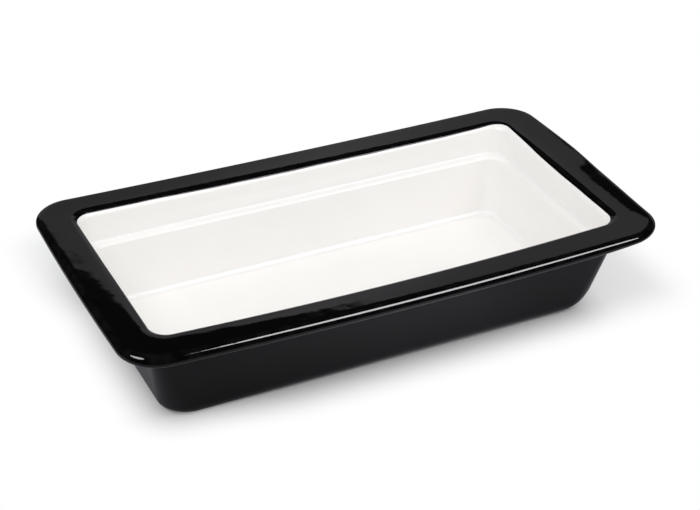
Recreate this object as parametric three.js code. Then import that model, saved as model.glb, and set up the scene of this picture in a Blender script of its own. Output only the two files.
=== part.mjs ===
// A one-third gastronorm serving dish in porcelain: a deep basin with tapering walls, a ledge round
// the inside, and a wide flat rim with a half-round edge. The clay body is bare on its foot. A black
// glaze coats the rim and the outside, a white glaze lines the basin, and a black panel of glaze covers
// the recess under the base. Millimetres, +Z up, +X along the length, origin under the middle of the foot.

import * as THREE from "three";

// Overall size, measured over the finished glaze
const LENGTH = 325;
const WIDTH = 176;
const HEIGHT = 65;

// Rim
const RIM_WIDTH = 21.7;
const RIM_THICKNESS = 7.4;
const RIM_CORNER_RADIUS = 21.4;
const RIM_LIP_RADIUS = 5;
const RIM_UNDER_FILLET = 3;

// How the rim settles in firing: long sides dip and spread, short ends lift and spread
const SIDE_DIP = 2.3;
const SIDE_SPREAD = 1.5;
const END_LIFT = 0.6;
const END_SPREAD = 1.9;

// Walls: thickness is measured level, at the rim, behind the ledge and at the floor
const WALL_DRAFT_DEGREES = 11;
const WALL_THICKNESS = 4.9;
const LEDGE_WALL_THICKNESS = 3.4;
const FLOOR_WALL_THICKNESS = 5.2;
const WALL_CORNER_RADIUS = 8;
const OPENING_CORNER_RADIUS = 8.4;

// Ledge inside the basin
const LEDGE_DEPTH = 19;
const LEDGE_WIDTH = 4.3;
const LEDGE_FALL = 1.2;
const LEDGE_FILLET = 1.6;

// Floor, base and foot
const FLOOR_HEIGHT = 8;
const FLOOR_FILLET = 4;
const FLOOR_CORNER_RADIUS = 11.8;
const BASE_CORNER_RADIUS = 16.5;
const BASE_FILLET = 10;
const FOOT_WIDTH = 6;
const FOOT_HEIGHT = 1.6;
const BARE_FOOT_HEIGHT = 1;

// Glaze layers: the gap keeps each layer clear of the clay and of the next layer
const GLAZE_THICKNESS = 0.5;
const GLAZE_GAP = 0.3;
const GLAZE_LINE_DEPTH = 1.46;

// Facets: odd counts along the sides leave a level strip at the middle of each
const CORNER_STEPS = 6;
const LONG_SIDE_STEPS = 5;
const SHORT_SIDE_STEPS = 3;
const BROAD_STEPS = 4;
const FINE_STEPS = 2;

// Sizes that follow from the ones above
const COAT = GLAZE_THICKNESS + GLAZE_GAP;
const RIM_TOP = HEIGHT - END_LIFT;
const RIM_UNDERSIDE = RIM_TOP - RIM_THICKNESS;
const RIM_HALF_LENGTH = LENGTH / 2 - END_SPREAD;
const RIM_HALF_WIDTH = WIDTH / 2 - SIDE_SPREAD;
const RIM_ROUND = RIM_THICKNESS / 2;
const LEDGE_TOP = RIM_TOP - LEDGE_DEPTH;
const GLAZE_LINE = RIM_TOP - GLAZE_LINE_DEPTH;
const WALL_DRAFT = THREE.MathUtils.degToRad(WALL_DRAFT_DEGREES);
const BASE_FILLET_REACH = BASE_FILLET * Math.tan((Math.PI / 2 - WALL_DRAFT) / 2);

// The cross-section is drawn outwards and upwards from the rim's edge, so places inside it are negative

// How far out the outer wall stands at a height
function outerWall(height) {
  return WALL_THICKNESS - RIM_WIDTH - Math.tan(WALL_DRAFT) * (RIM_TOP - height);
}

// A corner of the cross-section, with the corner radius of the plan there
function corner(outward, height, planRadius, fillet = 0, steps = 1) {
  return { place: new THREE.Vector2(outward, height), planRadius, fillet, steps };
}

// The finished cross-section with sharp corners, from under the base round the rim to the floor
function finishedSection() {
  const base = -COAT;
  const footInside = outerWall(base) - BASE_FILLET_REACH - FOOT_WIDTH;
  const ledgeBack = outerWall(LEDGE_TOP) - LEDGE_WALL_THICKNESS;
  const floorEdge = outerWall(FLOOR_HEIGHT) - FLOOR_WALL_THICKNESS;
  return [
    corner(footInside, base, BASE_CORNER_RADIUS),
    corner(outerWall(base), base, BASE_CORNER_RADIUS, BASE_FILLET, BROAD_STEPS),
    corner(outerWall(LEDGE_TOP), LEDGE_TOP, WALL_CORNER_RADIUS),
    corner(outerWall(RIM_UNDERSIDE), RIM_UNDERSIDE, WALL_CORNER_RADIUS, RIM_UNDER_FILLET, FINE_STEPS),
    corner(0, RIM_UNDERSIDE, RIM_CORNER_RADIUS, RIM_ROUND, BROAD_STEPS),
    corner(0, RIM_TOP, RIM_CORNER_RADIUS, RIM_ROUND, BROAD_STEPS),
    corner(-RIM_WIDTH, RIM_TOP, OPENING_CORNER_RADIUS, RIM_LIP_RADIUS, BROAD_STEPS),
    corner(ledgeBack, LEDGE_TOP, OPENING_CORNER_RADIUS, LEDGE_FILLET, FINE_STEPS),
    corner(ledgeBack - LEDGE_WIDTH, LEDGE_TOP - LEDGE_FALL, OPENING_CORNER_RADIUS, LEDGE_FILLET, FINE_STEPS),
    corner(floorEdge, FLOOR_HEIGHT, FLOOR_CORNER_RADIUS, FLOOR_FILLET, BROAD_STEPS),
    corner(floorEdge - FLOOR_FILLET, FLOOR_HEIGHT, FLOOR_CORNER_RADIUS),
  ];
}

// Direction of travel from one corner to the next
function heading(from, to) {
  return to.place.clone().sub(from.place).normalize();
}

// The direction a quarter turn to the left, which points into the clay
function intoClay(direction) {
  return new THREE.Vector2(-direction.y, direction.x);
}

// The section sunk into the clay by a depth: each side shifts, and neighbours meet again
function sectionAtDepth(section, depth) {
  const last = section.length - 1;
  return section.map((point, index) => {
    const before = heading(section[Math.max(index - 1, 0)], section[Math.max(index, 1)]);
    const after = heading(section[Math.min(index, last - 1)], section[Math.min(index + 1, last)]);
    const shift = intoClay(before).add(intoClay(after)).multiplyScalar(depth / (1 + before.dot(after)));
    return {
      place: point.place.clone().add(shift),
      planRadius: point.planRadius + shift.x,
      fillet: Math.max(point.fillet - Math.sign(before.cross(after)) * depth, 0),
      steps: point.steps,
    };
  });
}

// A station part of the way from one station to another
function between(from, to, share) {
  return {
    place: from.place.clone().lerp(to.place, share),
    planRadius: THREE.MathUtils.lerp(from.planRadius, to.planRadius, share),
  };
}

// The length of a side that a corner's fillet may use: half of it where the other end has one too
function filletRoom(point, neighbour) {
  const side = point.place.distanceTo(neighbour.place);
  return neighbour.fillet > 0 ? side / 2 : side;
}

// Stations round one corner: an arc that touches the side before and the side after
function roundCorner(previous, point, next) {
  const before = heading(previous, point);
  const after = heading(point, next);
  const turn = Math.atan2(before.cross(after), before.dot(after));
  const room = Math.min(filletRoom(point, previous), filletRoom(point, next));
  const reach = Math.min(point.fillet * Math.tan(Math.abs(turn) / 2), room);
  const start = between(point, previous, reach / point.place.distanceTo(previous.place));
  const end = between(point, next, reach / point.place.distanceTo(next.place));
  const centre = intoClay(before).multiplyScalar(reach / Math.tan(turn / 2)).add(start.place);
  const stations = [];
  for (let step = 0; step <= point.steps; step += 1) {
    const share = step / point.steps;
    stations.push({
      place: start.place.clone().rotateAround(centre, turn * share),
      planRadius: THREE.MathUtils.lerp(start.planRadius, end.planRadius, share),
    });
  }
  return stations;
}

// The whole path of a section: its two ends, and the arc at each corner between them
function pathOf(section) {
  const path = [section[0]];
  for (let index = 1; index < section.length - 1; index += 1) {
    const point = section[index];
    const arc = point.fillet > 0 ? roundCorner(section[index - 1], point, section[index + 1]) : [point];
    const meetsLast = arc[0].place.distanceTo(path[path.length - 1].place) < GLAZE_GAP / 10;
    path.push(...arc.slice(meetsLast ? 1 : 0));
  }
  path.push(section[section.length - 1]);
  return path;
}

// The station where the path crosses a height, between a station and the one after it
function stationAtHeight(path, index, height) {
  const from = path[index];
  const to = path[index + 1];
  return between(from, to, (height - from.place.y) / (to.place.y - from.place.y));
}

// The stretch of a path from the bare foot, up the outside and over the rim, to the glaze line
function outsideStretch(path) {
  const foot = path.findIndex((station) => station.place.y > BARE_FOOT_HEIGHT) - 1;
  const edge = GLAZE_LINE + GLAZE_GAP / 2;
  const lip = path.findLastIndex((station) => station.place.y > edge);
  const start = stationAtHeight(path, foot, BARE_FOOT_HEIGHT);
  return [start, ...path.slice(foot + 1, lip + 1), stationAtHeight(path, lip, edge)];
}

// The stretch of a path from the glaze line, down the basin, to the floor
function basinStretch(path) {
  const edge = GLAZE_LINE - GLAZE_GAP / 2;
  const lip = path.findLastIndex((station) => station.place.y > edge);
  return [stationAtHeight(path, lip, edge), ...path.slice(lip + 1)];
}

// A rectangle with round corners, drawn anticlockwise
function roundedRectangle(halfLength, halfWidth, radius) {
  const points = [];
  for (let quarter = 0; quarter < 4; quarter += 1) {
    const first = (quarter * Math.PI) / 2;
    const side = quarter === 0 || quarter === 3 ? 1 : -1;
    const far = quarter < 2 ? 1 : -1;
    const centre = new THREE.Vector2(side * (halfLength - radius), far * (halfWidth - radius));
    for (let step = 0; step <= CORNER_STEPS; step += 1) {
      const angle = first + (step * Math.PI) / 2 / CORNER_STEPS;
      points.push(new THREE.Vector2(Math.cos(angle), Math.sin(angle)).multiplyScalar(radius).add(centre));
    }
    const isLong = quarter % 2 === 0;
    const steps = isLong ? LONG_SIDE_STEPS : SHORT_SIDE_STEPS;
    const from = points[points.length - 1];
    const to = new THREE.Vector2(isLong ? -from.x : from.x, isLong ? from.y : -from.y);
    for (let step = 1; step < steps; step += 1) {
      points.push(from.clone().lerp(to, step / steps));
    }
  }
  return points;
}

// The ring of points at a station, after the rim has dipped, lifted and spread
function ringAt(station) {
  const halfLength = RIM_HALF_LENGTH + station.place.x;
  const halfWidth = RIM_HALF_WIDTH + station.place.x;
  const settling = THREE.MathUtils.smoothstep(station.place.y, LEDGE_TOP, RIM_UNDERSIDE);
  const nearEdge = THREE.MathUtils.clamp((RIM_WIDTH + station.place.x) / (RIM_WIDTH - RIM_ROUND), 0, 1);
  return roundedRectangle(halfLength, halfWidth, station.planRadius).map((point) => {
    const along = (point.x / halfLength) ** 2;
    const across = (point.y / halfWidth) ** 2;
    const side = settling * (1 - along) * across ** 2;
    const end = settling * nearEdge * (1 - across) * along ** 2;
    return new THREE.Vector3(
      point.x + Math.sign(point.x) * END_SPREAD * end,
      point.y + Math.sign(point.y) * SIDE_SPREAD * side,
      station.place.y + END_LIFT * end - SIDE_DIP * side,
    );
  });
}

// Triangles between each ring and the next, split along the shorter diagonal of each patch
function joinRings(points, ringCount, ringSize, isLoop) {
  const faces = [];
  const spans = isLoop ? ringCount : ringCount - 1;
  for (let span = 0; span < spans; span += 1) {
    const here = span * ringSize;
    const next = ((span + 1) % ringCount) * ringSize;
    for (let step = 0; step < ringSize; step += 1) {
      const after = (step + 1) % ringSize;
      const [a, b, c, d] = [here + step, here + after, next + after, next + step];
      const isForward = points[a].distanceTo(points[c]) <= points[b].distanceTo(points[d]);
      faces.push(...(isForward ? [a, b, c, a, c, d] : [a, b, d, b, c, d]));
    }
  }
  return faces;
}

// Triangles that close a level ring from a point at its middle, facing up or down
function closeRing(first, ringSize, middle, facesUp) {
  const faces = [];
  for (let step = 0; step < ringSize; step += 1) {
    const edge = [first + step, first + ((step + 1) % ringSize)];
    faces.push(middle, ...(facesUp ? edge : edge.reverse()));
  }
  return faces;
}

// A closed skin through the stations' rings: either a loop, or closed under its start and over its end
function skin(stations, isLoop) {
  const rings = stations.map(ringAt);
  const ringSize = rings[0].length;
  const points = rings.flat();
  const faces = joinRings(points, rings.length, ringSize, isLoop);
  if (!isLoop) {
    const lastRing = (rings.length - 1) * ringSize;
    points.push(new THREE.Vector3(0, 0, stations[0].place.y));
    faces.push(...closeRing(0, ringSize, points.length - 1, false));
    points.push(new THREE.Vector3(0, 0, stations[stations.length - 1].place.y));
    faces.push(...closeRing(lastRing, ringSize, points.length - 1, true));
  }
  const geometry = new THREE.BufferGeometry().setFromPoints(points);
  geometry.setIndex(faces);
  geometry.computeVertexNormals();
  return geometry;
}

function piece(name, geometry, material) {
  const mesh = new THREE.Mesh(geometry, material);
  mesh.name = name;
  return mesh;
}

function bareClay() {
  return new THREE.MeshStandardMaterial({ color: 0xe6e0d4, roughness: 0.7, metalness: 0 });
}

function whiteGlaze() {
  return new THREE.MeshStandardMaterial({ color: 0xf3f1ea, roughness: 0.15, metalness: 0 });
}

function blackGlaze() {
  return new THREE.MeshStandardMaterial({ color: 0x070708, roughness: 0.08, metalness: 0 });
}

const finished = finishedSection();
const finishedPath = pathOf(finished);
const glazeBackPath = pathOf(sectionAtDepth(finished, GLAZE_THICKNESS));
const clayPath = pathOf(sectionAtDepth(finished, COAT));

// The fired clay: floor, walls, ledge, rim and the foot round a shallow recess
function porcelainBody() {
  const footInside = clayPath[0];
  const recessEdge = { ...footInside, place: new THREE.Vector2(footInside.place.x, FOOT_HEIGHT) };
  return piece("porcelain_body", skin([recessEdge, ...clayPath], false), bareClay());
}

// The black coat over the rim and down the outer wall
function blackOuterGlaze() {
  const loop = [...outsideStretch(finishedPath), ...outsideStretch(glazeBackPath).reverse()];
  return piece("black_outer_glaze", skin(loop, true), blackGlaze());
}

// The white lining of the basin, below the glaze line
function whiteBasinGlaze() {
  const shell = [...basinStretch(glazeBackPath).reverse(), ...basinStretch(finishedPath)];
  return piece("white_basin_glaze", skin(shell, false), whiteGlaze());
}

// The black panel inside the foot, on the ceiling of the recess
function blackBaseGlaze() {
  const edge = clayPath[0].place.x - GLAZE_GAP;
  const planRadius = clayPath[0].planRadius - GLAZE_GAP;
  const heights = [FOOT_HEIGHT - COAT, FOOT_HEIGHT - GLAZE_GAP];
  const stations = heights.map((height) => ({ place: new THREE.Vector2(edge, height), planRadius }));
  return piece("black_base_glaze", skin(stations, false), blackGlaze());
}

const dish = new THREE.Group();
dish.add(porcelainBody(), whiteBasinGlaze(), blackOuterGlaze(), blackBaseGlaze());

export default dish;
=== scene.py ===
"""A one-third gastronorm serving dish in porcelain, black outside and white inside, in a plain studio.

The dish is one cross-section carried round a rounded rectangle. Its layers are the fired clay, the
white lining of the basin, the black coat over rim and outside, and the black panel under the base.
Sizes of the dish are millimetres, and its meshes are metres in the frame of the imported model.
"""

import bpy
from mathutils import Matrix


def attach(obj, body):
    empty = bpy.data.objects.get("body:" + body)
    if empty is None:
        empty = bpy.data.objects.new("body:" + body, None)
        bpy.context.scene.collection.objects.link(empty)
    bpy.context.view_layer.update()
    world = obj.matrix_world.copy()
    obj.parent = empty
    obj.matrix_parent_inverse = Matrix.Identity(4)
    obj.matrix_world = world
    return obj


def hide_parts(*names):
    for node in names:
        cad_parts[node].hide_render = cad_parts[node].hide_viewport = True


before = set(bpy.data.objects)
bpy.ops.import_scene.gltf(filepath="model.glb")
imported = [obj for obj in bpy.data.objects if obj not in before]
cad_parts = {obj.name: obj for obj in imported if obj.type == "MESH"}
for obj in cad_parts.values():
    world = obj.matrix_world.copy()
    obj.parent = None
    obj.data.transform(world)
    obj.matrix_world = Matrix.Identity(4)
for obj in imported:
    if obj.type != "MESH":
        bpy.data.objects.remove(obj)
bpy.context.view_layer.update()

import logging
import math
from dataclasses import dataclass
from enum import Enum
from typing import Any, Union

import bpy
import numpy as np
from mathutils import Matrix, Vector

log = logging.getLogger("dish")

MM = 0.001
BODY = "root"
SAME_PLACE = 1e-4
NO_TURN = 1e-6
Colour = tuple[float, float, float]
Span = tuple[float, float]
Array = np.ndarray
Row = Union[Span, Array]


class Slot(Enum):
    """The finishes of the dish, each with its material's name."""

    BLACK_GLAZE = "black_glaze"
    WHITE_GLAZE = "white_glaze"
    BARE_CLAY = "bare_porcelain"


class Sight(Enum):
    """The one kind of ray that sees a screen of the studio."""

    GLOSSY = "glossy"
    DIFFUSE = "diffuse"


@dataclass(frozen=True)
class Wire:
    """One output of a node in a graph. Arithmetic on wires adds Math nodes."""

    graph: "Graph"
    socket: bpy.types.NodeSocket

    def maths(self, operation: str, *values: "Number") -> "Wire":
        """The result of one Math node on wires or numbers."""
        return self.graph.node("ShaderNodeMath", {"operation": operation}, dict(enumerate(values)))

    def __add__(self, other: "Number") -> "Wire":
        """This plus other."""
        return self.maths("ADD", self, other)

    __radd__ = __add__

    def __sub__(self, other: "Number") -> "Wire":
        """This minus other."""
        return self.maths("SUBTRACT", self, other)

    def __rsub__(self, other: "Number") -> "Wire":
        """Other minus this."""
        return self.maths("SUBTRACT", other, self)

    def __mul__(self, other: "Number") -> "Wire":
        """This times other."""
        return self.maths("MULTIPLY", self, other)

    __rmul__ = __mul__


Number = Union[Wire, float, int]


class Graph:
    """A node tree that is filled by expressions."""

    def __init__(self, owner: Union[bpy.types.Material, bpy.types.World]) -> None:
        """Empties a node tree.

        Args:
            owner: the material or the world whose tree it is.
        """
        owner.use_nodes = True
        self.tree = owner.node_tree
        self.tree.nodes.clear()

    def node(self, kind: str, settings: dict[str, Any], sockets: dict[Any, Any], output: Any = 0) -> Wire:
        """Adds one node.

        Args:
            kind: the node's type.
            settings: attributes of the node, set before its sockets.
            sockets: a value or a wire for each input, by name or by number.
            output: which output to return, by name or by number.

        Returns:
            The chosen output.
        """
        made = self.tree.nodes.new(kind)
        for name, value in settings.items():
            setattr(made, name, value)
        for name, value in sockets.items():
            if isinstance(value, Wire):
                self.tree.links.new(value.socket, made.inputs[name])
            else:
                made.inputs[name].default_value = value
        return Wire(self, made.outputs[output] if made.outputs else None)

    def place(self) -> Wire:
        """The surface point in the object's own coordinates."""
        return self.node("ShaderNodeTexCoord", {}, {}, "Object")

    def axes(self, names: str) -> list[Wire]:
        """The surface point's own coordinates along the named axes."""
        place = self.place()
        return [self.node("ShaderNodeSeparateXYZ", {}, {"Vector": place}, name) for name in names]

    def ramp(self, value: Wire, low: float, high: float, kind: str = "SMOOTHSTEP") -> Wire:
        """Goes from 0 to 1 while a value goes from low to high, smoothly unless another kind is named."""
        values = {"Value": value, "From Min": low, "From Max": high}
        return self.node("ShaderNodeMapRange", {"interpolation_type": kind}, values)

    def blend(self, share: Number, first: Any, second: Any) -> Wire:
        """Mixes two colours, or wires with colours, by the share of the second."""
        colours = [c if isinstance(c, Wire) else (*c, 1.0) for c in (first, second)]
        return self.node("ShaderNodeMix", {"data_type": "RGBA"}, {0: share, 6: colours[0], 7: colours[1]}, 2)

    def bump(self, height: Wire, distance: float, under: Union[Wire, None] = None) -> Wire:
        """The normal of a relief, whose height of 1 is a distance in metres, on a coarser relief."""
        values = {"Height": height, "Distance": distance, "Strength": 1.0}
        return self.node("ShaderNodeBump", {}, values if under is None else {**values, "Normal": under})

    def finish(self, shader: Wire, output: str = "ShaderNodeOutputMaterial") -> None:
        """Gives a shader to the tree's output."""
        self.node(output, {}, {"Surface": shader})


@dataclass(frozen=True)
class Pattern:
    """Cloudy noise over the object.

    It has cells per metre, a number of finer layers, their strength, a swirl, and the levels between which
    its mask sets in.
    """

    scale: float
    layers: float
    strength: float = 0.5
    swirl: float = 0.0
    span: Span = (0.0, 1.0)

    def noise(self, graph: Graph) -> Wire:
        """The noise itself, about 0.3 to 0.7 in most places."""
        values = {"Vector": graph.place(), "Scale": self.scale, "Detail": self.layers,
                  "Roughness": self.strength, "Distortion": self.swirl}
        return graph.node("ShaderNodeTexNoise", {}, values, "Fac")

    def mask(self, graph: Graph) -> Wire:
        """0 where the noise is below the span, 1 where it is above."""
        return graph.ramp(self.noise(graph), *self.span)


@dataclass(frozen=True)
class Tint:
    """A colour laid on by a share, times a pattern's mask and a number of the mesh, if it has them."""

    colour: Colour
    share: float
    pattern: Union[Pattern, None] = None
    attribute: Union[str, None] = None

    def over(self, graph: Graph, under: Any) -> Wire:
        """Lays the tint over a colour.

        Args:
            graph: the finish's graph.
            under: the colour below, or a wire with it.

        Returns:
            The mixed colour.
        """
        share: Number = self.share
        if self.pattern is not None:
            share = share * self.pattern.mask(graph)
        if self.attribute is not None:
            share = share * graph.node("ShaderNodeAttribute", {"attribute_name": self.attribute}, {}, "Fac")
        return graph.blend(share, under, self.colour)


Reliefs = tuple[tuple[Pattern, float], ...]


@dataclass(frozen=True)
class Finish:
    """A surface: tints over its colour, cloudy roughness, and reliefs with their height in metres."""

    slot: Slot
    colour: Colour
    tints: tuple[Tint, ...]
    clouds: Pattern
    roughness: Span
    reliefs: Reliefs
    refraction: float = 1.5

    def make(self) -> bpy.types.Material:
        """Builds the material.

        Returns:
            The material, with the finer reliefs on the coarser.
        """
        material = bpy.data.materials.new(self.slot.value)
        graph = Graph(material)
        colour, normal = self.colour, None
        for tint in self.tints:
            colour = tint.over(graph, colour)
        for pattern, metres in self.reliefs:
            normal = graph.bump(pattern.noise(graph), metres, normal)
        smoothest, roughest = self.roughness
        rough = smoothest + (roughest - smoothest) * self.clouds.mask(graph)
        values = {"Base Color": colour, "Roughness": rough, "IOR": self.refraction, "Normal": normal}
        graph.finish(graph.node("ShaderNodeBsdfPrincipled", {}, values))
        return material


@dataclass(frozen=True)
class BlackGlaze(Finish):
    """Deep black gloss: nearly mirror smooth, brown where it thins on edges, with a few specks."""

    slot: Slot = Slot.BLACK_GLAZE
    colour: Colour = (0.0016, 0.0015, 0.0018)
    tints: tuple[Tint, ...] = (
        Tint((0.0075, 0.0068, 0.0064), 1.0, Pattern(160.0, 3.0, span=(0.35, 0.7)), "thin"),
        Tint((0.05, 0.047, 0.043), 0.6, Pattern(1900.0, 1.0, span=(0.80, 0.84))),
    )
    clouds: Pattern = Pattern(38.0, 4.0, 0.55, span=(0.42, 0.72))
    roughness: Span = (0.035, 0.085)
    reliefs: Reliefs = (
        (Pattern(62.0, 2.0, 0.45, 0.4), 0.00010),
        (Pattern(900.0, 1.0), 0.000006),
    )
    refraction: float = 1.34


@dataclass(frozen=True)
class WhiteGlaze(Finish):
    """Warm white satin: faint clouds, a little greyer where it runs together in hollows, very few specks."""

    slot: Slot = Slot.WHITE_GLAZE
    colour: Colour = (0.955, 0.940, 0.921)
    tints: tuple[Tint, ...] = (
        Tint((0.941, 0.929, 0.912), 1.0, Pattern(26.0, 4.0, 0.55, span=(0.4, 0.7))),
        Tint((0.890, 0.893, 0.888), 0.7, attribute="pool"),
        Tint((0.62, 0.57, 0.50), 0.35, Pattern(1300.0, 1.0, span=(0.83, 0.87))),
    )
    clouds: Pattern = Pattern(26.0, 4.0, 0.55, span=(0.35, 0.75))
    roughness: Span = (0.30, 0.38)
    reliefs: Reliefs = (
        (Pattern(55.0, 2.0, 0.45), 0.00008),
        (Pattern(800.0, 1.0), 0.000005),
    )
    refraction: float = 1.36


@dataclass(frozen=True)
class BareClay(Finish):
    """Unglazed fired porcelain: matt, fine-grained, with warm clouds, rubbed grey where it stands."""

    slot: Slot = Slot.BARE_CLAY
    colour: Colour = (0.80, 0.765, 0.70)
    tints: tuple[Tint, ...] = (
        Tint((0.74, 0.68, 0.59), 1.0, Pattern(70.0, 4.0, span=(0.35, 0.7))),
        Tint((0.46, 0.44, 0.41), 0.55, Pattern(240.0, 5.0, 0.65, 1.2, (0.56, 0.70))),
    )
    clouds: Pattern = Pattern(2600.0, 3.0, 0.6, span=(0.3, 0.7))
    roughness: Span = (0.62, 0.87)
    reliefs: Reliefs = ((Pattern(2600.0, 3.0, 0.6), 0.00004),)


def step_lengths(rows: Array) -> Array:
    """Distances between neighbouring rows, by their first two coordinates."""
    return np.linalg.norm(np.diff(rows[:, :2], axis=0), axis=1)


@dataclass(frozen=True)
class Path:
    """Stations along a cross-section: rows of outward place, height and corner radius of the plan."""

    stations: Array

    def travelled(self) -> Array:
        """Length along the path at each station."""
        return np.concatenate(([0.0], np.cumsum(step_lengths(self.stations))))

    def at(self, lengths: Array) -> Array:
        """Outward place, height and plan radius at lengths along the path, on a new last axis."""
        travelled = self.travelled()
        return np.stack([np.interp(lengths, travelled, column) for column in self.stations.T], axis=-1)

    def length_at_height(self, height: float, is_last: bool) -> float:
        """Length along the path where it crosses a height.

        Args:
            height: the height to find.
            is_last: the last crossing instead of the first.

        Returns:
            The length from the path's start.
        """
        crossings = np.flatnonzero(np.diff(self.stations[:, 1] > height))
        step = crossings[-1 if is_last else 0]
        (low, high), (before, after) = self.stations[step:step + 2, 1], self.travelled()[step:step + 2]
        return float(before + (height - low) / (high - low) * (after - before))


@dataclass(frozen=True)
class DishSizes:
    """Measures of the finished dish: those of the solids, and the slight crown of the rim's top."""

    length: float = 325.0
    width: float = 176.0
    height: float = 65.0
    rim_width: float = 21.7
    rim_thickness: float = 7.4
    rim_corner_radius: float = 21.4
    rim_lip_radius: float = 5.0
    rim_under_fillet: float = 3.0
    side_dip: float = 2.3
    side_spread: float = 1.5
    end_lift: float = 0.6
    end_spread: float = 1.9
    crown_width: float = 9.0
    crown_fall: float = 0.35
    crown_radius: float = 140.0
    wall_draft_degrees: float = 11.0
    wall_thickness: float = 4.9
    ledge_wall_thickness: float = 3.4
    wall_corner_radius: float = 8.0
    opening_corner_radius: float = 8.4
    floor_wall_thickness: float = 5.2
    ledge_depth: float = 19.0
    ledge_width: float = 4.3
    ledge_fall: float = 1.2
    ledge_fillet: float = 1.6
    floor_height: float = 8.0
    floor_fillet: float = 4.0
    floor_corner_radius: float = 11.8
    base_corner_radius: float = 16.5
    base_fillet: float = 10.0
    foot_width: float = 6.0
    foot_height: float = 1.6
    bare_foot_height: float = 1.0
    coat: float = 0.8
    glaze_line_depth: float = 1.46

    @property
    def rim_top(self) -> float:
        """Height of the rim's top before it settles."""
        return self.height - self.end_lift

    @property
    def rim_underside(self) -> float:
        """Height of the rim's underside before it settles."""
        return self.rim_top - self.rim_thickness

    @property
    def ledge_top(self) -> float:
        """Height of the ledge's back edge."""
        return self.rim_top - self.ledge_depth

    @property
    def glaze_line(self) -> float:
        """Height at which black meets white inside the lip."""
        return self.rim_top - self.crown_fall - self.glaze_line_depth

    @property
    def half_sizes(self) -> Span:
        """Half the length and half the width of the rim before it spreads."""
        return self.length / 2 - self.end_spread, self.width / 2 - self.side_spread

    def outer_wall(self, height: float) -> float:
        """How far out the outer wall stands at a height, from the rim's edge."""
        lean = math.tan(math.radians(self.wall_draft_degrees))
        return self.wall_thickness - self.rim_width - lean * (self.rim_top - height)

    @property
    def foot_inside(self) -> float:
        """How far out the inner edge of the foot stands, from the rim's edge."""
        reach = self.base_fillet * math.tan(math.radians(90 - self.wall_draft_degrees) / 2)
        return self.outer_wall(-self.coat) - reach - self.foot_width

    def corners(self) -> Array:
        """The finished cross-section with sharp corners, from under the base round the rim to the floor.

        Returns:
            Rows of outward place, height, corner radius of the plan, and fillet.
        """
        base = -self.coat
        opening, floor_radius = self.opening_corner_radius, self.floor_corner_radius
        crown = opening + (self.rim_corner_radius - opening) * self.crown_width / self.rim_width
        ledge_back = self.outer_wall(self.ledge_top) - self.ledge_wall_thickness
        lip = self.outer_wall(self.rim_top) - self.wall_thickness
        floor_edge = self.outer_wall(self.floor_height) - self.floor_wall_thickness
        half_round = self.rim_thickness / 2
        under, top, ledge = self.rim_underside, self.rim_top, self.ledge_top
        return np.array((
            (self.foot_inside, base, self.base_corner_radius, 0.0),
            (self.outer_wall(base), base, self.base_corner_radius, self.base_fillet),
            (self.outer_wall(ledge), ledge, self.wall_corner_radius, 0.0),
            (self.outer_wall(under), under, self.wall_corner_radius, self.rim_under_fillet),
            (0.0, under, self.rim_corner_radius, half_round),
            (0.0, top, self.rim_corner_radius, half_round),
            (lip + self.crown_width, top, crown, self.crown_radius),
            (lip, top - self.crown_fall, opening, self.rim_lip_radius),
            (ledge_back, ledge, opening, self.ledge_fillet),
            (ledge_back - self.ledge_width, ledge - self.ledge_fall, opening, self.ledge_fillet),
            (floor_edge, self.floor_height, floor_radius, self.floor_fillet),
            (floor_edge - self.floor_fillet, self.floor_height, floor_radius, 0.0),
        ))


def turned_left(directions: Array) -> Array:
    """Directions in the section a quarter turn to the left, which is into the clay."""
    return np.stack((-directions[:, 1], directions[:, 0]), axis=1)


def sides_of(corners: Array) -> tuple[Array, Array]:
    """The direction of each straight side of a section, and its length."""
    lengths = step_lengths(corners)
    return np.diff(corners[:, :2], axis=0) / lengths[:, None], lengths


def sunk(corners: Array, depth: float) -> Array:
    """The section pushed into the clay: each side shifts by the depth, and neighbours meet again.

    Args:
        corners: rows of outward place, height, plan radius and fillet.
        depth: how far every side shifts.

    Returns:
        The shifted rows, with plan radii and fillets that follow.
    """
    directions, _ = sides_of(corners)
    before = np.vstack((directions[:1], directions))
    after = np.vstack((directions, directions[-1:]))
    meeting = depth / (1.0 + (before * after).sum(axis=1))
    shift = (turned_left(before) + turned_left(after)) * meeting[:, None]
    turn = before[:, 0] * after[:, 1] - before[:, 1] * after[:, 0]
    moved = corners.copy()
    moved[:, :2] += shift
    moved[:, 2] += shift[:, 0]
    moved[:, 3] = np.maximum(corners[:, 3] - np.sign(np.round(turn, 9)) * depth, 0.0)
    return moved


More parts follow.
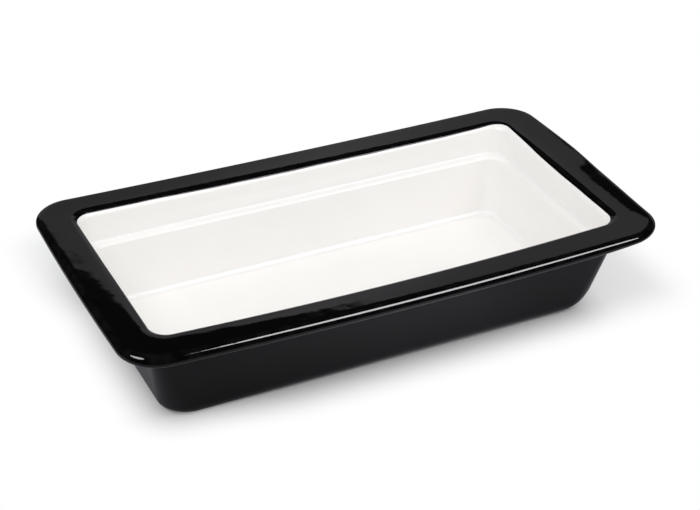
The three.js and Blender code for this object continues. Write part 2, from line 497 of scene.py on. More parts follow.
def rounded(corners: Array, arc_steps: int, spacing: float) -> Path:
    """Rounds a section: at each corner an arc that touches the side before and the side after.

    A point of the arc is its start plus radius times (sine of the angle along the side before, and one
    minus its cosine towards the inside of the turn). Sides longer than the spacing are then divided.

    Args:
        corners: rows of outward place, height, plan radius and fillet.
        arc_steps: steps of each arc.
        spacing: longest step on a straight side.

    Returns:
        The path of stations.
    """
    directions, lengths = sides_of(corners)
    before, after = directions[:-1], directions[1:]
    cross = before[:, 0] * after[:, 1] - before[:, 1] * after[:, 0]
    turn = np.arctan2(cross, (before * after).sum(axis=1))
    has_fillet = corners[:, 3] > 0
    room = np.minimum(
        lengths[:-1] * np.where(has_fillet[:-2], 0.5, 1.0),
        lengths[1:] * np.where(has_fillet[2:], 0.5, 1.0),
    )
    half_turn = np.tan(np.abs(turn) / 2)
    reach = np.minimum(corners[1:-1, 3] * half_turn, room)
    radius = np.divide(reach, half_turn, out=np.zeros_like(reach), where=half_turn > NO_TURN)
    share = np.linspace(0.0, 1.0, arc_steps + 1)
    angle = np.abs(turn)[:, None] * share
    start = corners[1:-1, :2] - before * reach[:, None]
    towards = turned_left(before) * np.sign(turn)[:, None]
    arcs = (
        start[:, None, :]
        + (radius[:, None] * np.sin(angle))[..., None] * before[:, None, :]
        + (radius[:, None] * (1.0 - np.cos(angle)))[..., None] * towards[:, None, :]
    )
    plan = corners[:, 2]
    first_plan = plan[1:-1] + (plan[:-2] - plan[1:-1]) * reach / lengths[:-1]
    last_plan = plan[1:-1] + (plan[2:] - plan[1:-1]) * reach / lengths[1:]
    plans = first_plan[:, None] + (last_plan - first_plan)[:, None] * share
    arc_rows = np.concatenate((arcs, plans[..., None]), axis=2).reshape(-1, 3)
    rows = np.vstack((corners[:1, :3], arc_rows, corners[-1:, :3]))
    has_moved = np.concatenate(([True], step_lengths(rows) > SAME_PLACE))
    return Path(divided(rows[has_moved], spacing))


def divided(rows: Array, spacing: float) -> Array:
    """Divides each step between rows into equal parts no longer than the spacing.

    Args:
        rows: rows that begin with two coordinates.
        spacing: longest part.

    Returns:
        All rows, old and new, in order.
    """
    counts = np.ceil(step_lengths(rows) / spacing).astype(int)
    index = np.repeat(np.arange(len(counts)), counts)
    first = np.repeat(np.cumsum(counts) - counts, counts)
    share = (np.arange(counts.sum()) - first) / counts[index]
    parts = rows[index] + share[:, None] * (rows[index + 1] - rows[index])
    return np.vstack((parts, rows[-1:]))


def unit(values: Array) -> Array:
    """Values kept between 0 and 1."""
    return np.clip(values, 0.0, 1.0)


def eased(values: Array, low: float, high: float) -> Array:
    """Goes from 0 to 1 while values go from low to high: share squared times (3 - 2 shares)."""
    share = unit((values - low) / (high - low))
    return share**2 * (3.0 - 2.0 * share)


@dataclass(frozen=True)
class Unevenness:
    """How this one dish departs from its drawing, as fired porcelain does, in millimetres."""

    opening_aside: float = -0.05
    opening_ahead: float = -0.1
    opening_ease: Span = (-1.25, 0.1)
    basin_aside: float = -0.9
    basin_ease: float = 0.8
    rim_tilt: float = 0.45
    right_spread: float = 1.4
    spread_span: Span = (-0.9, 0.35)
    corner_thinning: float = 4.0
    right_bulge: float = 3.9
    bulge_start: float = 13.0
    roll_start: float = 0.20
    roll_drop: float = 0.98
    roll_span: Span = (21.0, -13.0)

    def shifts(
        self, size: DishSizes, stations: Array, y: Array, along: Array, across: Array,
        settling: Array, near_edge: Array,
    ) -> tuple[Array, Array, Array]:
        """How far points lie off their place.

        Basin and opening shift and stretch. The rim's right-hand end spreads towards the back, and rolls
        down to its edge in front. The right-hand outer wall bulges low down. The whole rim tilts down to the
        right, and its front right corner is thinner underneath.

        Args:
            size: the dish's measures.
            stations: outward place, height and plan radius of each point.
            y: place across, in millimetres.
            along: place along, as a share of the plan's half length.
            across: place across, as a share of its half width.
            settling: from 0 at the ledge to 1 under the rim.
            near_edge: from 0 at the lip to 1 where the rim's edge begins to round.

        Returns:
            Shifts to the right, to the back, and down.
        """
        outward, height = stations[..., 0], stations[..., 1]
        right, inner = unit(along), 1.0 - near_edge
        raised = 0.5 + 0.5 * height / size.rim_top
        aside = inner * raised * (self.basin_aside + self.basin_ease * along)
        aside += inner * settling * (self.opening_aside + self.opening_ease[0] * along)
        spread = settling * near_edge * eased(across, *self.spread_span)
        outermost = unit(1.0 - (size.outer_wall(height) - outward) / size.ledge_wall_thickness)
        bulge = outermost * unit(1.0 - height / size.rim_underside) * eased(height, 0.0, self.bulge_start)
        aside += right**4 * (self.right_spread * spread + self.right_bulge * bulge)
        back = inner * settling * (self.opening_ahead + self.opening_ease[1] * across)
        roll = unit((near_edge - self.roll_start) / (1.0 - self.roll_start)) ** 2
        roll = roll * right**12 * (1.0 - across**4) * eased(y, *self.roll_span)
        underneath = unit((size.rim_top - height) / size.rim_thickness)
        thin = near_edge * underneath * right**8 * unit(-across) ** 4
        drop = self.roll_drop * roll + self.rim_tilt * along - self.corner_thinning * thin
        return aside, back, settling * drop


@dataclass(frozen=True)
class Plan:
    """The rounded rectangle that the section is carried round, and how the rim settles on it in firing."""

    sizes: DishSizes
    uneven: Unevenness = Unevenness()
    corner_steps: int = 18
    long_steps: int = 44
    short_steps: int = 24

    def ring(self) -> Array:
        """Points round the plan, anticlockwise from the right-hand end of the back right corner.

        A point is centre x (half size - radius) + direction x radius. On a corner the centre is fixed and
        the direction turns a quarter; on a side the direction is fixed and the centre slides across.

        Returns:
            Rows of centre along, centre across, direction along, direction across.
        """
        quarter = np.linspace(0.0, np.pi / 2, self.corner_steps + 1)
        corners = np.array(((1.0, 1.0), (-1.0, 1.0), (-1.0, -1.0), (1.0, -1.0)))
        rows = []
        for corner, here in enumerate(corners):
            angle = quarter + corner * np.pi / 2
            directions = np.stack((np.cos(angle), np.sin(angle)), axis=1)
            steps = self.short_steps if corner % 2 else self.long_steps
            slide = (np.arange(1, steps) / steps)[:, None]
            path = here + slide * (corners[(corner + 1) % len(corners)] - here)
            rows.append(np.hstack((np.broadcast_to(here, directions.shape), directions)))
            rows.append(np.hstack((path, np.broadcast_to(directions[-1], path.shape))))
        return np.vstack(rows)

    def outline(self, outward: Any, radius: Any) -> tuple[Array, ...]:
        """Places along and across round the plan, by the ring's formula, at an outward place and a radius."""
        ring, halves = self.ring(), self.sizes.half_sizes
        return tuple(ring[:, k] * (halves[k] + outward - radius) + ring[:, k + 2] * radius for k in range(2))

    def swept(self, stations: Array) -> Array:
        """Carries stations round the plan, lets the rim settle and adds the dish's unevenness.

        Long sides dip and spread most at their middles; short ends lift and spread most at theirs. Both
        grow in from the ledge's height up to the rim's underside.

        Args:
            stations: shape (rows, columns or 1, 3): outward place, height, plan radius.

        Returns:
            Points of shape (rows, columns, 3) in millimetres.
        """
        size = self.sizes
        outward, height, radius = (stations[..., k] for k in range(3))
        x, y = self.outline(outward, radius)
        half_length, half_width = (half + outward for half in size.half_sizes)
        along, across = x / half_length, y / half_width
        settling = eased(height, size.ledge_top, size.rim_underside)
        near_edge = unit((size.rim_width + outward) / (size.rim_width - size.rim_thickness / 2))
        side = settling * (1.0 - along**2) * across**4
        end = settling * near_edge * (1.0 - across**2) * along**4
        aside, back, drop = self.uneven.shifts(size, stations, y, along, across, settling, near_edge)
        return np.stack((
            x + np.sign(x) * size.end_spread * end + aside,
            y + np.sign(y) * size.side_spread * side + back,
            height + size.end_lift * end - size.side_dip * side - drop,
        ), axis=-1)


def grid_faces(rows: int, columns: int, is_loop: bool, is_ring: bool = True) -> Array:
    """Four-sided faces of a grid of points.

    Args:
        rows: number of rows.
        columns: points in a row.
        is_loop: whether the last row joins the first.
        is_ring: whether the last point of a row joins its first.

    Returns:
        Rows of four point numbers.
    """
    tall, wide = rows if is_loop else rows - 1, columns if is_ring else columns - 1
    here, step = np.meshgrid(np.arange(tall), np.arange(wide), indexing="ij")
    above, after = (here + 1) % rows, (step + 1) % columns
    corners = (here * columns + step, here * columns + after, above * columns + after, above * columns + step)
    return np.stack(corners, axis=-1).reshape(-1, 4)


def pole_faces(ring_start: int, columns: int, pole: int, is_end: bool) -> Array:
    """Three-sided faces that close a ring at one point.

    Args:
        ring_start: number of the ring's first point.
        columns: points in the ring.
        pole: number of the point in the middle.
        is_end: whether the ring is the last of its grid.

    Returns:
        Rows of three point numbers.
    """
    here = ring_start + np.arange(columns)
    after = ring_start + (np.arange(columns) + 1) % columns
    middle = np.full(columns, pole)
    return np.stack((here, after, middle) if is_end else (after, here, middle), axis=1)


def new_object(name: str, points: Array, faces: list[Array]) -> bpy.types.Object:
    """Puts points and faces into a smooth mesh.

    Args:
        name: name of the mesh and of its object.
        points: rows of place in metres.
        faces: arrays of faces, each with its own number of corners.

    Returns:
        The object, in the scene.
    """
    mesh = bpy.data.meshes.new(name)
    mesh.from_pydata(points.tolist(), [], sum((group.tolist() for group in faces), []), shade_flat=False)
    mesh.validate()
    made = bpy.data.objects.new(name, mesh)
    bpy.context.scene.collection.objects.link(made)
    return made


@dataclass(frozen=True)
class Piece:
    """One piece of the dish: a closed mesh, the body it rides on and the node it stands for."""

    name: str
    node: str
    slot: str

    def build(self, points: Array, faces: list[Array], values: dict[str, Array]) -> bpy.types.Object:
        """Args:
            points: rows of place in millimetres.
            faces: arrays of faces, each with its own number of corners.
            values: a number for each point, by attribute name.

        Returns:
            The piece's object.
        """
        piece = new_object(self.name, points * MM, faces)
        for name, numbers in values.items():
            layer = piece.data.attributes.new(name, "FLOAT", "POINT")
            layer.data.foreach_set("value", numbers.astype(np.float32))
        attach(piece, BODY)
        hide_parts(self.node)
        log.info("%s: %d points, %d faces", self.name, len(points), len(piece.data.polygons))
        return piece


def half_round_end(last: Array, first_back: Array, travel: Row, steps: int) -> Array:
    """Stations round the rolled edge of a glaze, from its face to its back.

    A station is the edge's middle plus half its thickness times (cosine of the angle towards the face, and
    sine of it along the way the face was going).

    Args:
        last: the face's last stations, shape (columns or 1, 3).
        first_back: the back's first stations, the same shape.
        travel: direction in which the face runs out, (outward, height).
        steps: steps round the edge.

    Returns:
        Stations of shape (steps - 1, columns or 1, 3), without the two ends.
    """
    angle = (np.arange(1, steps) * np.pi / steps)[:, None, None]
    middle, half = (last + first_back) / 2, (last - first_back) / 2
    bulge = np.zeros_like(half)
    bulge[..., :2] = np.linalg.norm(half[..., :2], axis=-1, keepdims=True) * np.asarray(travel)
    return middle + half * np.cos(angle) + bulge * np.sin(angle)


@dataclass
class Dish:
    """The dish: its sections at each depth, and a method for each of its layers.

    A wave of the glaze line is its height, its lengths along and across per radian, and its phase. A rise of
    it is its height, its places along and across, and its reaches along and across.
    """

    sizes: DishSizes = DishSizes()
    glaze_thickness: float = 0.74
    seam: float = 0.03
    arc_steps: int = 10
    hidden_arc_steps: int = 5
    spacing: float = 2.4
    shortest_step: float = 0.05
    edge_steps: int = 8
    lip_travel: Span = (-0.7, -0.7)
    foot_travel: Span = (-0.8, -0.6)
    line_fade: float = 1.6
    line_waves: tuple[tuple[float, ...], ...] = (
        (0.055, 23.0, 31.0, 1.1),
        (0.055, 23.0, -31.0, 0.3),
        (0.066, 9.0, 13.0, 2.1),
        (0.0385, 4.3, -5.1, 0.0),
    )
    line_rises: tuple[tuple[float, ...], ...] = (
        (1.5, 160.6, 78.5, 17.0, 47.0),
        (0.5, -91.0, 86.5, 50.0, 30.0),
    )
    share_per_turn: float = 2.5
    disc_shares: tuple[float, ...] = (0.25, 0.5, 0.75)
    recess_margin: float = 3.0
    recess_fillet: float = 0.5
    foot_fillet: float = 0.7
    panel_gap: float = 0.3
    panel_margin: float = 4.0
    panel_fillets: Span = (0.24, 0.1)

    def __post_init__(self) -> None:
        """Works out the plan, the paths of the glazes' face and back, and the corners of the clay."""
        self.plan = Plan(self.sizes)
        corners = self.sizes.corners()
        self.finished = rounded(corners, self.arc_steps, self.spacing)
        self.glaze_back = rounded(sunk(corners, self.glaze_thickness), self.hidden_arc_steps, self.spacing)
        self.clay = sunk(corners, self.sizes.coat)

    def wave(self) -> Array:
        """The hand-banded glaze line: a sum of a few slow waves round the ring, less its rises.

        A rise is its height times the exponential of minus the squared distance from its place, in reaches.

        Returns:
            Offset along the path for each point of the ring, in millimetres.
        """
        x, y = self.plan.outline(0.0, self.sizes.rim_corner_radius)
        offset = np.zeros_like(x)
        for height, along, across, phase in self.line_waves:
            offset += height * np.sin(x / along + y / across + phase)
        for rise, along, across, reach_along, reach_across in self.line_rises:
            away = np.hypot((x - along) / reach_along, (y - across) / reach_across)
            offset -= rise * np.exp(-(away**2))
        return offset

    def line_stations(self, path: Path, start: float, end: float, line: float) -> Array:
        """Stations between two lengths of a path, with the rows near the glaze line following its wave.

        Args:
            path: the path.
            start: length at the first row.
            end: length at the last row.
            line: length of the glaze line, at one of the two ends.

        Returns:
            Stations of shape (rows, columns, 3).
        """
        travelled = path.travelled()
        is_inside = (travelled > start + self.shortest_step) & (travelled < end - self.shortest_step)
        lengths = np.concatenate(([start], travelled[is_inside], [end]))
        fade = np.exp(-np.abs(lengths - line) / self.line_fade)
        return path.at(lengths[:, None] + fade[:, None] * self.wave())

    def glaze_sides(self, slot: Slot) -> tuple[Array, Array]:
        """The two sides of a glaze, which keeps half its thickness and half the seam off the glaze line.

        Args:
            slot: black runs from the bare foot to the line, and white from the line to the floor.

        Returns:
            Stations of its face, and those of its back in the opposite order.
        """
        gap = self.glaze_thickness / 2 + self.seam / 2
        sides = []
        for path in (self.finished, self.glaze_back):
            if slot is Slot.BLACK_GLAZE:
                line = path.length_at_height(self.sizes.glaze_line + gap, True)
                ends = (path.length_at_height(self.sizes.bare_foot_height, False), line)
            else:
                line = path.length_at_height(self.sizes.glaze_line - gap, True)
                ends = (line, path.travelled()[-1])
            sides.append(self.line_stations(path, *ends, line))
        return sides[0], sides[1][::-1]

    def convexity(self, stations: Array) -> Array:
        """How sharply each row of stations turns, positive on edges and negative in hollows.

        Args:
            stations: shape (rows, columns, 3).

        Returns:
            One number for each row, per millimetre.
        """
        section = stations[:, 0]
        along, up = np.diff(section[:, :2], axis=0).T
        sizes = step_lengths(section)
        angles = np.unwrap(np.arctan2(up, along))
        turning = np.diff(angles) / np.maximum((sizes[1:] + sizes[:-1]) / 2, self.shortest_step)
        return np.concatenate(([0.0], turning, [0.0]))

    def black_coat(self) -> bpy.types.Object:
        """The black coat: up the outside, over the rim to the glaze line, and back along the clay.

        Returns:
            The coat's object, with its thinness on edges in the attribute "thin".
        """
        face, back = self.glaze_sides(Slot.BLACK_GLAZE)
        lip_edge = half_round_end(face[-1], back[0], self.lip_travel, self.edge_steps)
        foot_edge = half_round_end(back[-1], face[0], self.foot_travel, self.edge_steps)
        loop = np.concatenate((face, lip_edge, back, foot_edge))
        thin = np.zeros(len(loop))
        thin[: len(face)] = unit(self.convexity(face) * self.share_per_turn)
        return self.layer("black_coat", "black_outer_glaze", Slot.BLACK_GLAZE, loop, {"thin": thin}, True)

    def white_lining(self) -> bpy.types.Object:
        """The white lining: up its back from the middle of the floor, over its edge and down the basin.

        Returns:
            The lining's object, with its thickness in hollows in the attribute "pool".
        """
        face, back = self.glaze_sides(Slot.WHITE_GLAZE)
        edge = half_round_end(back[-1], face[0], -np.array(self.lip_travel), self.edge_steps)
        shell = np.concatenate((back, edge, face))
        pool = np.zeros(len(shell))
        pool[-len(face):] = unit(-self.convexity(face) * self.share_per_turn)
        return self.layer("white_lining", "white_basin_glaze", Slot.WHITE_GLAZE, shell, {"pool": pool})

    def clay_body(self) -> bpy.types.Object:
        """The fired clay: from the middle of the recess round the foot, up the outside and down the basin.

        Returns:
            The body's object.
        """
        inside, base, plan = self.clay[0, :3]
        high = self.sizes.foot_height
        ceiling = (inside - self.recess_margin, high, plan, 0.0)
        recess = (inside, high, plan, self.recess_fillet)
        foot = (inside, base, plan, self.foot_fillet)
        corners = np.vstack((ceiling, recess, foot, self.clay[1:]))
        shell = rounded(corners, self.hidden_arc_steps, self.spacing).stations[:, None, :]
        return self.layer("clay_body", "porcelain_body", Slot.BARE_CLAY, shell, {})

    def base_panel(self) -> bpy.types.Object:
        """The black panel on the recess's ceiling, a slab with rolled edges.

        Returns:
            The panel's object.
        """
        edge, plan = self.clay[0, 0] - self.panel_gap, self.clay[0, 2] - self.panel_gap
        low, high = (self.sizes.foot_height - depth for depth in (self.sizes.coat, self.panel_gap))
        corners = np.array((
            (edge - self.panel_margin, low, plan, 0.0),
            (edge, low, plan, self.panel_fillets[0]),
            (edge, high, plan, self.panel_fillets[1]),
            (edge - self.panel_margin, high, plan, 0.0),
        ))
        shell = rounded(corners, self.edge_steps, self.spacing).stations[:, None, :]
        thin = {"thin": np.zeros(len(shell))}
        return self.layer("base_panel", "black_base_glaze", Slot.BLACK_GLAZE, shell, thin)

    def layer(
        self, name: str, node: str, slot: Slot, stations: Array, values: dict[str, Array],
        is_loop: bool = False,
    ) -> bpy.types.Object:
        """Makes a piece whose section is a loop, or whose first and last rings each close in a level disc.

        A disc is the ring times shrinking shares, at its own height, and a pole.

        Args:
            name: the piece's name.
            node: the node it stands for.
            slot: its finish.
            stations: shape (rows, columns or 1, 3).
            values: a number for each row, by attribute name.
            is_loop: whether the last row joins the first.

        Returns:
            The piece's object.
        """
        points = self.plan.swept(stations)
        shares = np.array(() if is_loop else self.disc_shares)[:, None, None]
        shrinking = 1.0 + np.array((1.0, 1.0, 0.0)) * (shares - 1.0)
        points = np.concatenate((points[:1] * shrinking, points, points[-1:] * shrinking[::-1]))
        rows, columns = points.shape[:2]
        count, poles = rows * columns, np.zeros((0, 3))
        faces = [grid_faces(rows, columns, is_loop)]
        if not is_loop:
            poles = points[(0, -1), 0] * (0.0, 0.0, 1.0)
            faces.append(pole_faces(0, columns, count, False))
            faces.append(pole_faces(count - columns, columns, count + 1, True))
        spread = {
            key: np.append(np.repeat(np.pad(row, len(shares)), columns), np.zeros(len(poles)))
            for key, row in values.items()
        }
        return Piece(name, node, slot.value).build(np.vstack((points.reshape(-1, 3), poles)), faces, spread)

    def assemble(self) -> None:
        """Builds the four layers and gives each its material."""
        black, white, clay = BlackGlaze().make(), WhiteGlaze().make(), BareClay().make()
        pieces = {
            self.clay_body(): clay,
            self.white_lining(): white,
            self.black_coat(): black,
            self.base_panel(): black,
        }
        for piece, material in pieces.items():
            piece.data.materials.append(material)


def direction(azimuth: Any, elevation: Any) -> Array:
    """Unit vectors towards places round the dish: azimuth 0 is in front, 90 at the right; degrees."""
    a, e = np.radians(azimuth), np.radians(elevation)
    return np.stack((np.sin(a) * np.cos(e), -np.cos(a) * np.cos(e), np.sin(e)), axis=-1)


@dataclass(frozen=True)
class Softbox:
    """A round lamp that faces the dish and lights it, but does not show in the gloss."""

    name: str
    azimuth: float
    elevation: float
    radiance: float
    colour: Colour = (1.0, 0.98, 0.968)
    distance: float = 1.7
    size: float = 0.9
    aim_height: float = 0.04

    def hang(self) -> None:
        """Makes the lamp, whose power is its radiance times four times its area."""
        lamp = bpy.data.lights.new(self.name, "AREA")
        lamp.shape = "DISK"
        lamp.size = self.size
        lamp.color = self.colour
        lamp.energy = self.radiance * math.pi * self.size**2
        holder = bpy.data.objects.new(self.name, lamp)
        towards = Vector(direction(self.azimuth, self.elevation))
        holder.location = towards * self.distance + Vector((0.0, 0.0, self.aim_height))
        holder.rotation_euler = towards.to_track_quat("Z", "Y").to_euler()
        holder.visible_camera = False
        holder.visible_glossy = False
        bpy.context.scene.collection.objects.link(holder)


@dataclass
class Studio:
    """White floor, soft lamps, and the room that the gloss mirrors. Sizes are metres and degrees.

    A screen is its name, its radius, its azimuths, and the elevations of its lower and its upper edge.
    A panel is its name, its azimuths, the elevation of its middle, half its height, and its strength.
    """

    floor_half: float = 6.0
    floor_colour: Colour = (0.30, 0.30, 0.305)
    floor_white: Colour = (0.98, 0.98, 0.985)
    floor_dark: Colour = (0.02, 0.02, 0.02)
    shade_along: Span = (-0.124, 0.175)
    shade_across: Span = (-0.053, 0.130)
    shade_recess: float = 0.0095
    recess_span: Span = (0.05, 0.13)
    shade_trail: float = 0.009
    trail_span: Span = (0.045, 0.105)
    # Painted light: share by which the shadow at the sheet's right end is painted lighter.
    side_painted_lift: float = 0.47
    lift_span: Span = (0.118, 0.150)
    white_reach: Span = (-0.001, 0.035)
    # Painted reflection: tint, span and levels of the sheet as the gloss sees it, set along it in place of
    # how it is lit.
    painted_reflection_tint: Colour = (0.99, 1.0, 1.07)
    painted_reflection_span: Span = (-0.15, 0.15)
    painted_reflection_levels: tuple[Span, ...] = ((0.0, 0.42), (0.15, 0.58), (0.55, 0.90), (0.8, 0.92), (1.0, 0.56))
    gloss_reach: Span = (0.12, 0.15)
    band_level: float = 0.653
    fill: float = 0.71
    fill_colour: Colour = (0.985, 1.0, 1.006)
    room_level: float = 0.018
    backdrop_level: float = 0.40
    backdrop_swell: float = 0.56
    swell_azimuth: float = 154.5
    swell_width: float = 4.8
    backdrop_rise: float = 0.45
    rise_span: Span = (1.7, 2.4)
    rise_middle: float = 0.44
    screens: tuple[tuple[str, float, Span, Span, Span], ...] = (
        ("dark_room", 5.0, (-180.0, 180.0), (0.0, 0.0), (90.0, 90.0)),
        ("backdrop", 4.0, (136.0, 190.0), (0.0, 0.0), (38.8, 26.1)),
        ("low_backdrop", 4.0, (105.0, 136.0), (0.0, 0.0), (14.0, 20.0)),
        ("dark_flag", 3.9, (128.0, 143.2), (25.6, 23.0), (28.0, 28.0)),
        ("light_band", 5.0, (-180.0, 180.0), (0.0, 0.0), (45.0, 45.0)),
    )
    panel_radius: float = 1.7
    panels: tuple[tuple[str, Span, float, float, float], ...] = (
        ("key_panel", (16.7, 49.6), 45.0, 12.5, 26.0),
        ("side_panel", (-97.0, -58.0), 46.0, 13.0, 18.5),
    )
    screen_rows: int = 17
    screen_columns: int = 65

    def staged(
        self, name: str, points: Array, faces: Array, material: bpy.types.Material,
    ) -> bpy.types.Object:
        """Puts a surface on the stage.

        Args:
            name: the surface's name.
            points: rows of place in metres.
            faces: rows of four point numbers.
            material: its material.

        Returns:
            The surface's object.
        """
        surface = new_object(name, points, [faces])
        surface.data.materials.append(material)
        return surface

    def seen_by(self, graph: Graph) -> tuple[Wire, Wire]:
        """Two masks: 1 for rays from the camera, and 1 for rays from gloss and through glass."""
        camera, gloss, glass = (
            graph.node("ShaderNodeLightPath", {}, {}, f"Is {kind} Ray")
            for kind in ("Camera", "Glossy", "Transmission")
        )
        return camera, gloss.maths("MAXIMUM", gloss, glass)

    def outside(self, place: Wire, span: Span) -> Wire:
        """How far a coordinate lies outside a span, 0 inside it."""
        below = place.maths("MAXIMUM", span[0] - place, 0.0)
        return below + place.maths("MAXIMUM", place - span[1], 0.0)

    def floor(self) -> None:
        """A level white sheet that takes the shadow; for the camera it glows white outside a set area round
        the shade, which paints the shadow out there.

        The set area is a rectangle, further back at the left and further left at the back, and at its right
        end the shadow is painted lighter in part. Gloss sees a painted reflection of the sheet: levels and a
        tint that change along it in place of how it is lit, and dark beyond a reach.
        """
        material = bpy.data.materials.new("white_floor")
        graph = Graph(material)
        along, across = graph.axes("XY")
        trail = self.shade_trail * graph.ramp(across, *self.trail_span)
        aside = self.outside(along + trail, self.shade_along)
        recess = self.shade_recess * graph.ramp(-1.0 * along, *self.recess_span)
        ahead = self.outside(across - recess, self.shade_across)
        away = along.maths("SQRT", aside * aside + ahead * ahead)
        camera, mirrored = self.seen_by(graph)
        # Painted reflection: the levels and tint that the gloss sees change along the sheet in place of how
        # it is lit, and turn dark beyond a reach.
        share = graph.ramp(along, *self.painted_reflection_span)
        level = self.painted_reflection_levels[0][1]
        for (start, before), (end, after) in zip(self.painted_reflection_levels, self.painted_reflection_levels[1:]):
            level = level + (after - before) * graph.ramp(share, start, end, "LINEAR")
        near = 1.0 - graph.ramp(away, *self.gloss_reach)
        colour = graph.blend(level, (0.0, 0.0, 0.0), self.painted_reflection_tint)
        colour = graph.blend(near, self.floor_dark, colour)
        colour = graph.blend(mirrored, self.floor_colour, colour)
        colour = graph.blend(camera, colour, self.floor_white)
        sheet = graph.node("ShaderNodeBsdfDiffuse", {}, {"Color": colour})
        glow = graph.node("ShaderNodeEmission", {}, {"Color": (1.0, 1.0, 1.0, 1.0), "Strength": 1.0})
        # Painted light: the right end's shadow is painted lighter in part, and outside the shade area the
        # camera sees painted white.
        painted_lift = self.side_painted_lift * graph.ramp(along, *self.lift_span)
        whiteness = camera * (1.0 - (1.0 - painted_lift) * (1.0 - graph.ramp(away, *self.white_reach)))
        graph.finish(graph.node("ShaderNodeMixShader", {}, {0: whiteness, 1: sheet, 2: glow}))
        points = self.floor_half * np.array(((-1, -1, 0), (1, -1, 0), (1, 1, 0), (-1, 1, 0)))
        self.staged("floor", points, np.array(((0, 1, 2, 3),)), material)

    def glowing(
        self, name: str, level: float, swell: float = 0.0, rise: float = 0.0,
        tint: Colour = (1.0, 0.985, 1.03),
    ) -> bpy.types.Material:
        """A glow that is stronger round one azimuth and higher up.

        Args:
            name: the material's name.
            level: strength away from the swell.
            swell: share that the swell adds at its middle.
            rise: share by which the top is stronger than the bottom.
            tint: the glow's colour.

        Returns:
            The material.
        """
        material = bpy.data.materials.new(name)
        graph = Graph(material)
        along, across, up = graph.axes("XYZ")
        azimuth = along.maths("ARCTAN2", along, -1.0 * across)
        turn = (azimuth - math.radians(self.swell_azimuth)) * (1.0 / math.radians(self.swell_width))
        rising = 1.0 + rise * (graph.ramp(up, *self.rise_span) - self.rise_middle)
        strength = level * rising * (1.0 + swell * turn.maths("EXPONENT", -1.0 * turn * turn))
        graph.finish(graph.node("ShaderNodeEmission", {}, {"Color": (*tint, 1.0), "Strength": strength}))
        return material

    def screen(
        self, name: str, radius: float, azimuths: Span, low: Row, high: Row,
        material: bpy.types.Material, sight: Sight,
    ) -> None:
        """Sets up a patch of a sphere round the dish that one kind of ray sees.

        It is a grid over azimuth and over elevation, from its lower to its upper edge.

        Args:
            name: the screen's name.
            radius: the sphere's radius.
            azimuths: first and last azimuth.
            low: elevations of its lower edge, spread evenly over the azimuths.
            high: elevations of its upper edge, likewise.
            material: its material.
            sight: the rays that see it.
        """
        rows, columns = self.screen_rows, self.screen_columns
        along, up = np.linspace(0.0, 1.0, columns), np.linspace(0.0, 1.0, rows)[:, None]
        bottoms, tops = (np.interp(along, np.linspace(0.0, 1.0, len(edge)), edge) for edge in (low, high))
        azimuth = np.linspace(*azimuths, columns) + np.zeros((rows, 1))
        points = radius * direction(azimuth, bottoms + (tops - bottoms) * up)
        surface = self.staged(name, points.reshape(-1, 3), grid_faces(rows, columns, False, False), material)
        for ray in ("camera", "diffuse", "glossy", "transmission", "shadow"):
            setattr(surface, f"visible_{ray}", ray == sight.value)

    def room(self) -> None:
        """What the gloss mirrors, and a band of light for matt surfaces.

        The gloss sees a dark room, a grey backdrop, lower at its right, with a dark flag, and bright panels.
        A panel's edges lie off its middle by half its height times (1 - place squared) at its left, and
        (1 - place to the fourth) at its right, with places from -1 to 1.
        """
        dark, flag = (self.glowing(name, self.room_level) for name in ("dark_room", "dark_flag"))
        grey = self.glowing("backdrop", self.backdrop_level, self.backdrop_swell, self.backdrop_rise)
        air = self.glowing("light_band", self.band_level, tint=self.fill_colour)
        for screen, material in zip(self.screens, (dark, grey, grey, flag, air)):
            self.screen(*screen, material, Sight.DIFFUSE if material is air else Sight.GLOSSY)
        along = np.linspace(-1.0, 1.0, self.screen_columns)
        bow = 1.0 - np.where(along < 0.0, along**2, along**4)
        for name, azimuths, middle, half, strength in self.panels:
            low, high = middle - half * bow, middle + half * bow
            glow = self.glowing(name, strength)
            self.screen(name, self.panel_radius, azimuths, low, high, glow, Sight.GLOSSY)

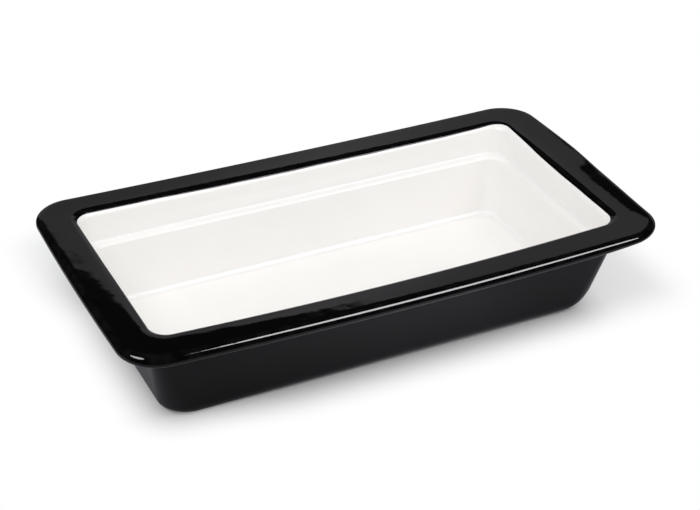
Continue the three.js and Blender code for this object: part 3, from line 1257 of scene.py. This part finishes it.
    def world(self) -> None:
        """White to the camera and the gloss, and a soft fill for everything else."""
        world = bpy.data.worlds.new("studio_air")
        graph = Graph(world)
        camera, mirrored = self.seen_by(graph)
        strength = self.fill + (1.0 - self.fill) * (camera + mirrored)
        colour = graph.blend(camera + mirrored, self.fill_colour, (1.0, 1.0, 1.0))
        air = graph.node("ShaderNodeBackground", {}, {"Color": colour, "Strength": strength})
        graph.finish(air, "ShaderNodeOutputWorld")
        bpy.context.scene.world = world

    def lamps(self) -> None:
        """A soft lamp high at the left in front, and a weaker one at the right."""
        Softbox("left_lamp", azimuth=-52.0, elevation=55.0, radiance=3.02).hang()
        Softbox("right_lamp", azimuth=33.0, elevation=45.0, radiance=1.47).hang()

    def build(self) -> None:
        """Sets up floor, room, world and lamps."""
        self.floor()
        self.room()
        self.world()
        self.lamps()
        bpy.context.scene.view_settings.view_transform = "Standard"
        log.info("studio ready")


@dataclass(frozen=True)
class Viewpoint:
    """The camera of the photograph, found from the rim's outline: degrees, millimetres and pixels."""

    azimuth: float = -26.535
    elevation: float = 32.017
    roll: float = 1.013
    distance: float = 991.188
    aside: float = 2.605
    above: float = 32.649
    focal_pixels: float = 1689.6
    frame_width: float = 700.0
    sensor_width: float = 36.0
    clip: Span = (0.01, 50.0)

    def place(self) -> None:
        """Makes the camera, turned by its roll about its own axis, and gives it to the scene."""
        back = Vector(direction(self.azimuth, self.elevation))
        turn = back.to_track_quat("Z", "Y").to_matrix() @ Matrix.Rotation(math.radians(self.roll), 3, "Z")
        lens = bpy.data.cameras.new("camera")
        lens.sensor_fit = "HORIZONTAL"
        lens.sensor_width = self.sensor_width
        lens.lens = self.focal_pixels * self.sensor_width / self.frame_width
        lens.clip_start, lens.clip_end = self.clip
        camera = bpy.data.objects.new("camera", lens)
        where = turn @ Vector((self.aside, self.above, self.distance)) * MM
        camera.matrix_world = Matrix.Translation(where) @ turn.to_4x4()
        bpy.context.scene.collection.objects.link(camera)
        bpy.context.scene.camera = camera


def main() -> None:
    """Builds the dish, the studio and the camera."""
    logging.basicConfig(level=logging.INFO)
    log.info("nodes to dress: %s", ", ".join(sorted(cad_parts)))
    Dish().assemble()
    Studio().build()
    Viewpoint().place()


if __name__ == "__main__":
    main()
